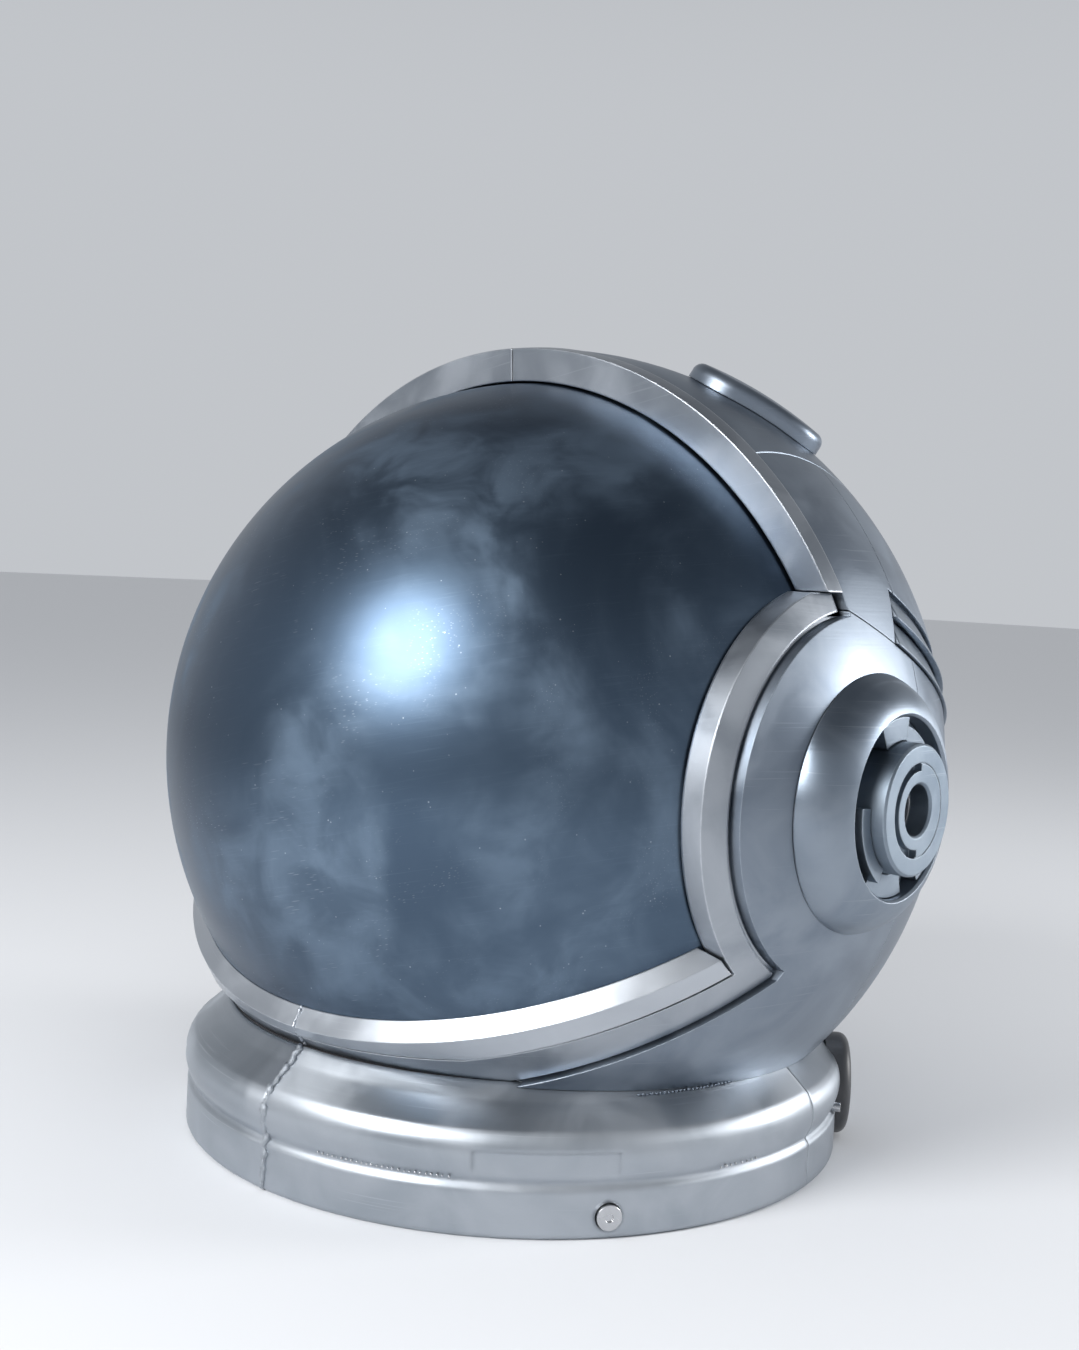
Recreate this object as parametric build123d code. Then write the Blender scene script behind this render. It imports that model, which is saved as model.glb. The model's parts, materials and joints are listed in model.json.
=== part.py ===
from build123d import *
import math
import os

os.makedirs("parts", exist_ok=True)

# Frame: millimetres, Z up, the face looks along minus Y, the wearer's left is plus X.
# The origin is on the axis of the neck ring, at its lowest face.

# General clearances
seam = 0.5
seat_gap = 0.2
soft_gap = 0.3
run_gap = 0.05
overrun = 30.0

# Outer dome
dome_r = 165.4
dome_y = 8.2
dome_z = 154.6
dome_wall = 4.0

# Visor bubble, and the pivot axis through both ears
pivot_y = 3.0
pivot_z = 152.0
bubble_y = 7.0
bubble_z = 152.4
bubble_r = 154.0
bubble_wall = 3.0
bubble_rear = 16.0
bubble_under_lip = 15.0

# Brow arch, a flange round the top of the face opening
arch_top_y = -23.2
arch_top_z = 317.0
arch_lean_deg = 5.0
arch_depth = 8.0
arch_proud = 0.6
arch_inner_gap = 1.0
arch_end_z = 226.0
lap_width = 8.0
lap_wall = 3.6

# Visor surround, a rim round each ear that runs on as the chin frame
shell_edge_r = 67.0
rim_gap = 1.8
rim_width = 8.7
rim_sink = 2.4
rim_head_y = -9.4
shell_head_y = -6.2
rim_bubble_gap = 1.4

# Lines of the shell's front edge below the ear, seen from the side
corner_y = -32.3
corner_z = 91.0
chin_mid_y = -54.0
chin_mid_z = 75.2
chin_low_y = -72.1
chin_low_z = 61.9
chin_end_y = -101.0
chin_end_z = 41.0

# Closing line between the visor's lip and the chin frame, seen from the side
close_back_y = -46.0
close_back_z = 96.5
close_knee_y = -104.0
close_knee_z = 58.6
close_front_y = -140.0
close_front_z = 49.5
close_gap = 1.2

# Visor lip
lip_tilt_deg = 31.4
lip_drop = 8.0
lip_out = 7.0
lip_slope = 4.4
lip_height = 22.0
lip_end_gap = 0.8

# Panel seams of the dome
crown_half = 111.0
side_seam_y = -9.1
side_seam_z = 221.5
side_seam_lean_deg = 23.4
upright_seam_y = 33.0

# Rear louvres
louvre_first = 0.3
louvre_height = 10.6
louvre_count = 2
louvre_sink = 2.8
louvre_proud = 1.6
louvre_taper = 3.4
louvre_start_deg = -3.6
louvre_sweep_deg = 41.0
louvre_end_gap_deg = 0.3

# Crown pods
pod_length = 60.0
pod_width = 42.0
pod_height = 7.0
pod_corner = 19.5
pod_round = 4.2
pod_x = 75.5
pod_y = 41.0
pod_turn_deg = 40.0

# Neck ring
ring_r = 135.0
ring_bore_r = 118.3
ring_top_z = 50.0
ring_foot = 1.2
groove_z = 19.2
groove_depth = 1.6
groove_half = 2.2
band_bulge = 0.9
band_high_z = 31.0
shoulder_z = 37.2
shoulder_r = 132.9
cone_z = 44.8
cone_r = 124.1
rim_top_r = 119.2
ring_seam_deg = 98.0
window_start_deg = 35.6
window_end_deg = 57.5
window_low_z = 20.6
window_high_z = 30.6
window_depth = 1.1

# Neck collar inside the ring, its gasket and its screws
collar_bore_r = 112.0
collar_wall = 6.0
collar_top_z = 48.8
gasket_height = 1.0
gasket_wall = 5.0
collar_screw_z = 30.0
collar_screw_r = 2.0
collar_screw_head_r = 3.8
collar_screw_head = 2.2
collar_screw_bite = 8.0
collar_screw_first_deg = 20.0
collar_screw_second_deg = 78.0
collar_screw_third_deg = 150.0

# Studs of the neck ring
stud_r = 4.5
stud_z = 8.1
stud_deg = 56.1
stud_proud = 1.4
stud_depth = 4.0
stud_gap = 0.4
stop_r = 1.9
stop_z = 20.0
stop_deg = 115.5

# Turn locks of the neck ring
lock_deg = 127.0
lock_z = 22.0
lock_r = 20.5
lock_face = 139.8
lock_thick = 10.4
lock_round = 4.0
lock_gap = 0.6
lock_shaft_r = 5.0
lock_cap_r = 6.0
lock_cap_proud = 1.2
lock_cap_depth = 2.0
lock_slot = 2.4
lock_slot_depth = 1.4

# Ear dish, its collar and the lock knob in its recess
dish_r = 47.7
dish_edge_x = 155.5
dish_mid_r = 42.6
dish_mid_x = 166.6
dish_lip_x = 172.4
dish_lip = 1.0
recess_r = 32.6
cup_wall = 3.4
floor_x = 159.3
floor_wall = 3.9
knob_r = 23.5
knob_face_x = 178.2
knob_bore_r = 9.2
knob_edge = 0.8
knob_gap = 0.4
step_outer_r = 16.9
step_inner_r = 13.9
step_depth = 3.0
groove_half_deg = 92.0
trace_width = 0.5
trace_depth = 0.4
ear_collar_base = 2.0
ear_block_r = 29.2
ear_block_top = 9.4
ear_shelf_top = 5.6
ear_notch_top = 3.4
ear_pad_top = 7.4
ear_stop_deg = (-58.0, 4.0)
ear_low_shelf_deg = (-104.0, -56.0)
ear_notch_deg = (-122.0, -102.0)
ear_low_pad_deg = (-160.0, -121.0)
ear_high_pad_deg = (62.0, 96.0)
ear_high_shelf_deg = (95.0, 150.0)

# Pivot post, its washer and the hub on the bubble
post_r = 13.0
post_end_x = 170.0
post_flange_r = 18.0
post_flange_x = 146.5
post_flange = 2.3
socket_floor_x = 160.0
socket_r = 8.8
hub_r = 29.0
hub_face_x = 157.0
washer_r = 27.0
hub_screw_ring_r = 22.5
hub_screw_r = 1.6
hub_screw_head_r = 2.9
hub_screw_head = 1.8
hub_screw_count = 4
hub_screw_first_deg = 45.0
hub_screw_tail_x = 147.4

# Inner liner, its brackets and its cushions
liner_r = 142.5
liner_wall = 2.5
liner_front = 2.0
liner_low_z = 100.0
bracket_width = 34.0
bracket_wall = 3.0
bracket_foot_r = 115.2
bracket_side_deg = 100.0
bracket_rise = 6.0
cushion_thick = 22.0
cushion_round = 9.0
crown_cushion_half = 48.0
side_cushion_low = 112.0
side_cushion_high = 190.0
side_cushion_front = 8.0
side_cushion_back = 72.0
nape_cushion_half = 52.0
nape_cushion_low = 108.0
nape_cushion_high = 178.0


def ball(radius, y, z):
    """A sphere on the helmet's middle plane, its poles at front and back and its seam below."""
    return Pos(0, y, z) * Rot(90, 0, 0) * Rot(0, 0, -90) * Sphere(radius)


def dome_shell(outer, inner):
    """A hollow sphere about the dome's centre."""
    return ball(outer, dome_y, dome_z) - ball(inner, dome_y, dome_z)


def side_face(points):
    """A face in the side view from (y, z) points."""
    return Plane.YZ * make_face(Polyline(*points, close=True))


def across(face):
    """A side view face carried across the whole helmet."""
    return extrude(face, amount=dome_r + overrun, both=True)


def drum(radius):
    """A cylinder about the ear axis, right across the helmet."""
    reach = dome_r + overrun
    return Pos(0, pivot_y, pivot_z) * Rot(0, 90, 0) * Cylinder(radius, reach + reach)


def left_side(gap):
    """The half space on the wearer's left, from a distance off the middle."""
    size = 2 * (dome_r + overrun)
    return Pos(gap, 0, dome_z) * Box(size, size, size, align=(Align.MIN, Align.CENTER, Align.CENTER))


def above(height):
    """Everything above a height."""
    size = 2 * (dome_r + overrun)
    return Pos(0, 0, height) * Box(size, size, size, align=(Align.CENTER, Align.CENTER, Align.MIN))


def mirrored(solid):
    """The same piece on the wearer's right."""
    return mirror(solid, about=Plane.YZ)


def ear_turned(points):
    """A solid of revolution about the left ear's axis from (x, r) points."""
    outline = [(x, r) for x, r in points]
    face = make_face(Polyline(*outline, close=True))
    return Pos(0, pivot_y, pivot_z) * revolve(face, Axis.X)


def ear_rod(radius, low_x, high_x, y=0.0, z=0.0):
    """A cylinder along X at a place measured from the ear axis."""
    rod = Cylinder(radius, high_x - low_x, align=(Align.CENTER, Align.CENTER, Align.MIN))
    return Pos(low_x, pivot_y + y, pivot_z + z) * Rot(0, 90, 0) * rod


def ear_sector(start_deg, end_deg, radius, low_x, high_x):
    """A slice about the ear axis, counted from the front (9 o'clock) upwards."""
    steps = [start_deg, (start_deg + end_deg) / 2, end_deg]
    reach = radius + radius
    corners = [(0, 0)]
    corners += [(-reach * math.cos(math.radians(a)), reach * math.sin(math.radians(a))) for a in steps]
    wedge = extrude(Plane.YZ * make_face(Polyline(*corners, close=True)), amount=high_x - low_x)
    return Pos(low_x, pivot_y, pivot_z) * wedge


def facing(angle_deg):
    """Unit direction on the ground plane, counted from the front to the left."""
    turn = math.radians(angle_deg)
    return Vector(math.sin(turn), -math.cos(turn), 0)


def radial_rod(angle_deg, z, radius, near, far):
    """A cylinder that points away from the neck ring's axis."""
    way = facing(angle_deg)
    plane = Plane(origin=way * near + Vector(0, 0, z), z_dir=way)
    return plane * Cylinder(radius, far - near, align=(Align.CENTER, Align.CENTER, Align.MIN))


def save(solid, name):
    """Write one named piece."""
    solid.label = name
    export_step(solid, os.path.join("parts", name + ".step"))


def between(front_y, back_y, low_z, high_z):
    """A slab across the helmet between four limits of the side view."""
    return across(side_face([(front_y, low_z), (back_y, low_z), (back_y, high_z), (front_y, high_z)]))


# Planes of the arch, seen from the side
lean = math.tan(math.radians(arch_lean_deg))
arch_back_step = arch_depth / math.cos(math.radians(arch_lean_deg))
sky = dome_z + dome_r + overrun
rear = dome_y + dome_r + overrun


def arch_line(z, back=0.0):
    """The arch plane's y at a height, moved back by a distance."""
    return arch_top_y + (arch_top_z - z) * lean + back


def behind_arch(back, low):
    """Everything behind the arch plane, moved back, above a height."""
    outline = [(arch_line(low, back), low), (rear, low), (rear, sky), (arch_line(sky, back), sky)]
    return across(side_face(outline))


# The slanted seam between the upper and the lower panels
seam_fall = math.tan(math.radians(side_seam_lean_deg))


def seam_line(y, lift=0.0):
    """The side seam's height at a place along the helmet."""
    return side_seam_z - (y - side_seam_y) * seam_fall + lift


def above_seam(lift):
    """Everything above the side seam."""
    line = [(-rear, seam_line(-rear, lift)), (rear, seam_line(rear, lift))]
    return across(side_face(line + [(rear, sky), (-rear, sky)]))


def below_seam(lift):
    """Everything below the side seam."""
    line = [(rear, seam_line(rear, lift)), (-rear, seam_line(-rear, lift))]
    return across(side_face([(-rear, -sky), (rear, -sky)] + line))


def ear_region(radius, head_y, out):
    """A disc round the ear joined to all that lies behind it, grown by a distance."""
    chin = [
        (corner_y - out, corner_z + out),
        (chin_mid_y - out / 2, chin_mid_z + out),
        (chin_low_y - out / 2, chin_low_z + out),
        (chin_end_y - out, chin_end_z + out),
    ]
    outline = [(head_y, sky), (head_y, pivot_z)] + chin
    outline += [(chin_end_y - out, -overrun), (rear, -overrun), (rear, sky)]
    return across(side_face(outline)) + drum(radius)


# Neck ring outline, in radius and height
def ring_outline(grow):
    """The ring's outer line from the foot to the top, moved outwards."""
    foot = Polyline(
        (ring_r - ring_foot + grow, -grow),
        (ring_r + grow, ring_foot - grow),
        (ring_r + grow, groove_z - groove_half),
        (ring_r - groove_depth + grow, groove_z),
        (ring_r - groove_half / 4 + grow, groove_z + groove_half),
    )
    bulge = ThreePointArc(
        (ring_r - groove_half / 4 + grow, groove_z + groove_half),
        (ring_r + band_bulge + grow, band_high_z),
        (shoulder_r + grow, shoulder_z + grow),
    )
    top = Polyline(
        (shoulder_r + grow, shoulder_z + grow),
        (cone_r + grow, cone_z + grow),
        (rim_top_r + grow, ring_top_z + grow),
    )
    return foot, bulge, top


def ring_face(inner, grow):
    """The ring's section on the XZ plane."""
    foot, bulge, top = ring_outline(grow)
    inside = Polyline(
        (rim_top_r + grow, ring_top_z + grow),
        (inner, ring_top_z + grow),
        (inner, -grow),
        (ring_r - ring_foot + grow, -grow),
    )
    return Plane.XZ * make_face([*foot.edges(), *bulge.edges(), *top.edges(), *inside.edges()])


def ring_arc(inner, grow, start_deg, end_deg):
    """A sector of the ring, counted from the front to the left."""
    body = revolve(ring_face(inner, grow), Axis.Z, revolution_arc=end_deg - start_deg)
    return Rot(0, 0, start_deg - 90) * body


ring_envelope = Rot(0, 0, 90) * revolve(ring_face(0, seat_gap), Axis.Z)
neck_clear = Pos(0, 0, ring_top_z) * Cylinder(collar_bore_r + collar_wall / 2, ring_top_z / 4)


# Dome panels
shell = dome_shell(dome_r, dome_r - dome_wall)
upper = shell & behind_arch(arch_back_step + seam, pivot_z) & above_seam(seam / 2)
side_cut = dome_r + overrun
wide_box = Box(2 * (crown_half - seam / 2), 2 * side_cut, 2 * side_cut)
crown_panel = upper & (Pos(0, dome_y, dome_z) * wide_box)
flank = upper & left_side(crown_half + seam / 2)


def slanted_axis():
    """The axis square to the side seam through the dome's centre."""
    tilt = math.radians(side_seam_lean_deg)
    return Plane(
        origin=(0, dome_y, dome_z),
        x_dir=(1, 0, 0),
        z_dir=(0, math.sin(tilt), math.cos(tilt)),
    )


def seam_height():
    """Distance of the side seam's plane from the dome's centre."""
    tilt = math.radians(side_seam_lean_deg)
    return (side_seam_y - dome_y) * math.sin(tilt) + (side_seam_z - dome_z) * math.cos(tilt)


def slanted_band(low, high, inner_r, outer_low_r, outer_high_r, grow_deg):
    """A band round the dome, parallel to the side seam, on the left."""
    points = [
        (math.sqrt(inner_r**2 - low**2), low),
        (math.sqrt(outer_low_r**2 - low**2), low),
        (math.sqrt(outer_high_r**2 - high**2), high),
        (math.sqrt(inner_r**2 - high**2), high),
    ]
    face = Plane.XZ * make_face(Polyline(*points, close=True))
    band = revolve(face, Axis.Z, revolution_arc=louvre_sweep_deg + 2 * grow_deg)
    return slanted_axis() * (Rot(0, 0, louvre_start_deg - grow_deg) * band)


louvre_low = seam_height() + louvre_first
louvre_high = louvre_low + louvre_count * louvre_height
pocket_r = dome_r - louvre_sink
clear_r = dome_r + overrun
pocket = slanted_band(louvre_low - seam, louvre_high + seam, pocket_r, clear_r, clear_r, louvre_end_gap_deg)


def louvre(index):
    """One shingle: its foot stands proud and its head leans into the pocket."""
    low = louvre_low + index * louvre_height
    high = low + louvre_height - seam
    foot_r = dome_r + louvre_proud
    return slanted_band(low, high, pocket_r + seat_gap, foot_r, foot_r - louvre_taper, 0)


louvres_left = Compound([louvre(index) for index in range(louvre_count)])
before_upright = between(-rear, upright_seam_y - seam / 2, -overrun, sky)
after_upright = between(upright_seam_y + seam / 2, rear, -overrun, sky)
side_front_left = (flank & before_upright) - pocket
side_rear_left = (flank & after_upright) - pocket

# Cheek and nape shells
ear_hole = ear_rod(recess_r + cup_wall + soft_gap, bubble_r / 2, dome_r + overrun)
lower = shell & below_seam(-seam / 2) & ear_region(shell_edge_r, shell_head_y, 0)
lower_left = lower & above(shoulder_z) & left_side(seam / 2)
cheek_left = (lower_left & before_upright) - ring_envelope - ear_hole
nape_left = (lower_left & after_upright) - ring_envelope - ear_hole

# Brow arch
arch_outer_r = dome_r + arch_proud
arch_inner_r = bubble_r + arch_inner_gap
arch_slab = across(
    side_face([
        (arch_line(arch_end_z), arch_end_z + seam),
        (arch_line(arch_end_z, arch_back_step), arch_end_z + seam),
        (arch_line(sky, arch_back_step), sky),
        (arch_line(sky), sky),
    ])
)
arch_ring = (ball(arch_outer_r, dome_y, dome_z) - ball(arch_inner_r, bubble_y, bubble_z)) & arch_slab
lap_outer = dome_r - dome_wall - seat_gap
lap_shell = dome_shell(lap_outer, lap_outer - lap_wall)
arch_lap = lap_shell & across(
    side_face([
        (arch_line(arch_end_z, arch_back_step - lap_width / 4), arch_end_z + seam),
        (arch_line(arch_end_z, arch_back_step + lap_width), arch_end_z + seam),
        (arch_line(sky, arch_back_step + lap_width), sky),
        (arch_line(sky, arch_back_step - lap_width / 4), sky),
    ])
)
arch_left = (arch_ring + arch_lap) & left_side(seam / 2)

# Visor surround
rim_outer_r = dome_r - rim_sink
rim_back_r = shell_edge_r + rim_gap
rim_front_r = rim_back_r + rim_width


def closing_region(lift):
    """Everything under the closing line of the visor's lip."""
    knee = (close_knee_y, close_knee_z + lift)
    start = (close_back_y, close_back_z + lift)
    slope = (close_back_z - close_knee_z) / (close_back_y - close_knee_y)
    far_z = close_back_z + lift + slope * (rear - close_back_y)
    outline = [(close_front_y, close_front_z + lift), knee, start, (rear, far_z)]
    return across(side_face(outline + [(rear, -overrun), (close_front_y, -overrun)]))


front_wall = between(-rear, rim_head_y, -overrun, arch_end_z)
rim_zone = drum(rim_front_r) + closing_region(-close_gap / 2)
rim_zone = rim_zone - ear_region(rim_back_r, rim_head_y, rim_gap / 2)
rim_body = ball(rim_outer_r, dome_y, dome_z) - ball(bubble_r + rim_bubble_gap, bubble_y, bubble_z)
tongue_zone = ear_region(rim_back_r + seam, rim_head_y, rim_gap + seam) - ear_region(
    shell_edge_r - lap_width, shell_head_y + lap_width, -lap_width
)
tongue = lap_shell & tongue_zone & below_seam(-seam)
tongue_front = between(-rear, shell_head_y, -overrun, arch_end_z - lap_width)
surround = ((rim_body & rim_zone & front_wall) + (tongue & tongue_front)) & above(shoulder_z)
surround_left = (surround & left_side(seam / 2)) - ring_envelope - neck_clear


# Visor lip: a turned flange about the axis square to the lip's plane
def lip_plane():
    """The lip's plane, with its normal pointing down past the chin."""
    tilt = math.radians(lip_tilt_deg)
    return Plane(
        origin=(0, bubble_y, bubble_z),
        x_dir=(1, 0, 0),
        z_dir=(0, math.sin(tilt), -math.cos(tilt)),
    )


def lip_ring():
    """The whole flange, sloped above and upright below."""
    out_r = bubble_r + lip_out
    in_r = bubble_r + run_gap
    top = lip_drop
    edge = lip_drop + lip_slope
    low = lip_drop + lip_height
    points = [
        (math.sqrt(in_r**2 - top**2), top),
        (math.sqrt(out_r**2 - edge**2), edge),
        (math.sqrt(out_r**2 - edge**2), low),
        (math.sqrt(in_r**2 - low**2) - lip_out, low),
        (math.sqrt(in_r**2 - low**2) - lip_out, top),
    ]
    face = Plane.XZ * make_face(Polyline(*points, close=True))
    return (lip_plane() * revolve(face, Axis.Z)) - ball(in_r, bubble_y, bubble_z)


under_close = closing_region(close_gap / 2)
lip_behind = between(pivot_y - rim_front_r / 2, rear, -overrun, sky)
lip_left = (lip_ring() - under_close - drum(rim_front_r + lip_end_gap) - lip_behind) & left_side(seam / 4)

# Visor bubble
bubble_cut = lip_plane() * (
    Pos(0, 0, lip_drop + bubble_under_lip)
    * Box(4 * bubble_r, 4 * bubble_r, 2 * bubble_r, align=(Align.CENTER, Align.CENTER, Align.MIN))
)
bubble_back = behind_arch(bubble_rear - arch_line(pivot_z), -overrun)
ear_disc = drum(hub_r + bubble_wall)
post_hole = ear_rod(post_r + soft_gap, bubble_r / 2, dome_r + overrun)
hub_turns = [math.radians(hub_screw_first_deg + 360 * k / hub_screw_count) for k in range(hub_screw_count)]
hub_places = [(hub_screw_ring_r * math.cos(t), hub_screw_ring_r * math.sin(t)) for t in hub_turns]
bubble = ball(bubble_r, bubble_y, bubble_z) - ball(bubble_r - bubble_wall, bubble_y, bubble_z)
bubble = bubble - ((bubble_cut + bubble_back) - ear_disc)
bubble = bubble - post_hole - mirrored(post_hole)
for place_y, place_z in hub_places:
    hole = ear_rod(hub_screw_r + run_gap, bubble_r / 2, bubble_r, place_y, place_z)
    bubble = bubble - hole - mirrored(hole)

# Hub on the bubble, its screws, the washer and the post
hub_edge = bubble_wall / 2
outside_bubble = ball(dome_r, pivot_y, pivot_z) - ball(bubble_r + run_gap, bubble_y, bubble_z)
hub = outside_bubble & ear_turned([
    (bubble_r - 2 * bubble_wall, post_r + run_gap),
    (hub_face_x, post_r + run_gap),
    (hub_face_x, hub_r - hub_edge),
    (hub_face_x - hub_edge, hub_r),
    (bubble_r - 2 * bubble_wall, hub_r),
])
hub_screw_list = []
for place_y, place_z in hub_places:
    hub = hub - ear_rod(hub_screw_r + run_gap, bubble_r / 2, dome_r, place_y, place_z)
    hub = hub - ear_rod(
        hub_screw_head_r + run_gap, hub_face_x - hub_screw_head - run_gap, dome_r, place_y, place_z
    )
    shank = ear_rod(hub_screw_r, hub_screw_tail_x, hub_face_x, place_y, place_z)
    head = ear_rod(hub_screw_head_r, hub_face_x - hub_screw_head, hub_face_x, place_y, place_z)
    hub_screw_list.append(shank + head)
washer = ear_turned([
    (hub_face_x + seat_gap, post_r + soft_gap),
    (floor_x - seat_gap, post_r + soft_gap),
    (floor_x - seat_gap, washer_r),
    (hub_face_x + seat_gap, washer_r),
])
post = ear_turned([
    (post_flange_x, 0),
    (socket_floor_x, 0),
    (socket_floor_x, socket_r),
    (post_end_x, socket_r),
    (post_end_x, post_r),
    (post_flange_x + post_flange, post_r),
    (post_flange_x + post_flange, post_flange_r),
    (post_flange_x, post_flange_r),
])

# Ear dish
cup_r = recess_r + cup_wall
dish_curve = ThreePointArc(
    (dish_edge_x, dish_r), (dish_mid_x, dish_mid_r), (dish_lip_x, recess_r + dish_lip)
)
dish_rest = Polyline(
    (dish_lip_x, recess_r + dish_lip),
    (dish_lip_x - dish_lip, recess_r),
    (dish_edge_x, recess_r),
    (dish_edge_x, dish_r),
)
dish_face = make_face([*dish_curve.edges(), *dish_rest.edges()])
dish_skirt = Pos(0, pivot_y, pivot_z) * revolve(dish_face, Axis.X)
dish_skirt = dish_skirt - ball(dome_r + seat_gap, dome_y, dome_z)
cup = ear_turned([
    (floor_x, post_r + run_gap),
    (floor_x, cup_r),
    (dish_lip_x - 3 * dish_lip, cup_r),
    (dish_lip_x - 3 * dish_lip, recess_r),
    (floor_x + floor_wall, recess_r),
    (floor_x + floor_wall, post_r + run_gap),
])
dish = dish_skirt + cup

# Fixed collar in the dish's recess, with blocks at several heights
base_x = floor_x + floor_wall + seat_gap
collar_in_r = knob_r + knob_gap
collar_out_r = recess_r - knob_gap


def ear_ring(inner, outer, low_x, high_x):
    """A plain ring about the ear axis."""
    return ear_rod(outer, low_x, high_x) - ear_rod(inner, low_x - seam, high_x + seam)


def ear_block(outer, height, span_deg):
    """A block of the ear collar between two clock places."""
    top = base_x + height
    start_deg, end_deg = span_deg
    wedge = ear_sector(start_deg, end_deg, outer, base_x, top)
    return ear_ring(collar_in_r, outer, base_x, top) & wedge


ear_collar = ear_ring(collar_in_r, collar_out_r, base_x, base_x + ear_collar_base)
ear_collar += ear_block(ear_block_r, ear_block_top, ear_stop_deg)
ear_collar += ear_block(collar_out_r, ear_shelf_top, ear_low_shelf_deg)
ear_collar += ear_block(ear_block_r, ear_notch_top, ear_notch_deg)
ear_collar += ear_block(collar_out_r, ear_pad_top, ear_low_pad_deg)
ear_collar += ear_block(collar_out_r, ear_pad_top, ear_high_pad_deg)
ear_collar += ear_block(ear_block_r, ear_shelf_top, ear_high_shelf_deg)

# Lock knob on the post
knob = ear_turned([
    (base_x, post_r + run_gap),
    (post_end_x + seat_gap, post_r + run_gap),
    (post_end_x + seat_gap, knob_bore_r),
    (knob_face_x - knob_edge, knob_bore_r),
    (knob_face_x, knob_bore_r + knob_edge),
    (knob_face_x, knob_r - knob_edge),
    (knob_face_x - knob_edge, knob_r),
    (base_x, knob_r),
])
groove_ring = ear_ring(step_inner_r, step_outer_r, knob_face_x - step_depth, knob_face_x + seam)
groove_half_space = ear_sector(
    -groove_half_deg, groove_half_deg, knob_r, knob_face_x - step_depth, knob_face_x + seam
)
trace_inner_r = step_outer_r - trace_width
trace_ring = ear_ring(trace_inner_r, step_outer_r, knob_face_x - trace_depth, knob_face_x + seam)
knob = knob - (groove_ring & groove_half_space) - trace_ring

# Crown pod on the left of the crown
pod_lift = math.sqrt(dome_r**2 - pod_x**2 - (pod_y - dome_y) ** 2)
pod_normal = Vector(pod_x, pod_y - dome_y, pod_lift).normalized()
pod_along = Vector(math.cos(math.radians(pod_turn_deg)), math.sin(math.radians(pod_turn_deg)), 0)
pod_along = (pod_along - pod_normal * pod_along.dot(pod_normal)).normalized()
pod_root = pod_height
pod_foot = Vector(0, dome_y, dome_z) + pod_normal * (dome_r - pod_root)
pod_plane = Plane(origin=pod_foot, x_dir=pod_along, z_dir=pod_normal)
pod_block = extrude(RectangleRounded(pod_length, pod_width, pod_corner), amount=pod_root + 2 * pod_height)
pod = (pod_plane * pod_block) & ball(dome_r + pod_height, dome_y, dome_z)
pod = pod - ball(dome_r + seat_gap, dome_y, dome_z)
pod_top = pod.faces().sort_by(lambda face: face.center().dot(pod_normal))[-1]
pod = fillet(pod_top.edges(), pod_round)

# Neck ring sectors
half_seam_deg = math.degrees(seam / 2 / ring_r)
ring_full_front = ring_arc(ring_bore_r, 0, half_seam_deg, ring_seam_deg - half_seam_deg)
ring_rear = ring_arc(ring_bore_r, 0, ring_seam_deg + half_seam_deg, 360 - ring_seam_deg - half_seam_deg)


def window(start_deg, end_deg):
    """A shallow window in the ring's upper band."""
    half = (window_high_z - window_low_z) / 2
    mid = (window_high_z + window_low_z) / 2
    face = Plane.XZ * make_face(Polyline(
        (ring_r - window_depth + band_bulge, mid - half),
        (ring_r + overrun, mid - half),
        (ring_r + overrun, mid + half),
        (ring_r - window_depth + band_bulge, mid + half),
        close=True,
    ))
    body = revolve(face, Axis.Z, revolution_arc=end_deg - start_deg)
    return Rot(0, 0, start_deg - 90) * body


stud_hole = radial_rod(stud_deg, stud_z, stud_r + stud_gap, ring_r - stud_depth, ring_r + overrun)
stud = radial_rod(stud_deg, stud_z, stud_r, ring_r - stud_depth + seat_gap, ring_r + stud_proud)
stud = stud - radial_rod(stud_deg, stud_z, stud_r / 3, ring_r + stud_proud / 2, ring_r + overrun)
stop_hole = radial_rod(stop_deg, stop_z, stop_r + run_gap, ring_r - stud_depth, ring_r + overrun)
stop_far = ring_r + stud_proud + band_bulge
stop_pin = radial_rod(stop_deg, stop_z, stop_r, ring_r - stud_depth + seat_gap, stop_far)

screw_degs = [collar_screw_first_deg, collar_screw_second_deg, collar_screw_third_deg]
collar_outer_r = collar_bore_r + collar_wall


def collar_screw(angle_deg, grow=0.0, reach=0.0):
    """A sunk screw from the collar into the ring, or the cutter for its hole."""
    near = collar_bore_r + seam
    tip = ring_bore_r + collar_screw_bite + grow
    under = near + collar_screw_head + grow
    shank = radial_rod(angle_deg, collar_screw_z, collar_screw_r + grow, near, tip)
    head = radial_rod(angle_deg, collar_screw_z, collar_screw_head_r + grow, near - reach, under)
    return shank + head


ring_front = ring_full_front - window(window_start_deg, window_end_deg) - stud_hole
for angle in screw_degs[:2]:
    ring_front = ring_front - collar_screw(angle, run_gap, overrun)
lock_back = lock_face - lock_thick
lock_recess = radial_rod(lock_deg, lock_z, lock_r + lock_gap, lock_back - seat_gap, ring_r + overrun)
lock_bore = radial_rod(lock_deg, lock_z, lock_shaft_r + run_gap, collar_outer_r, ring_r + overrun)
for cutter in (stop_hole, lock_recess, lock_bore, collar_screw(screw_degs[2], run_gap, overrun)):
    ring_rear = ring_rear - cutter - mirrored(cutter)

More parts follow.
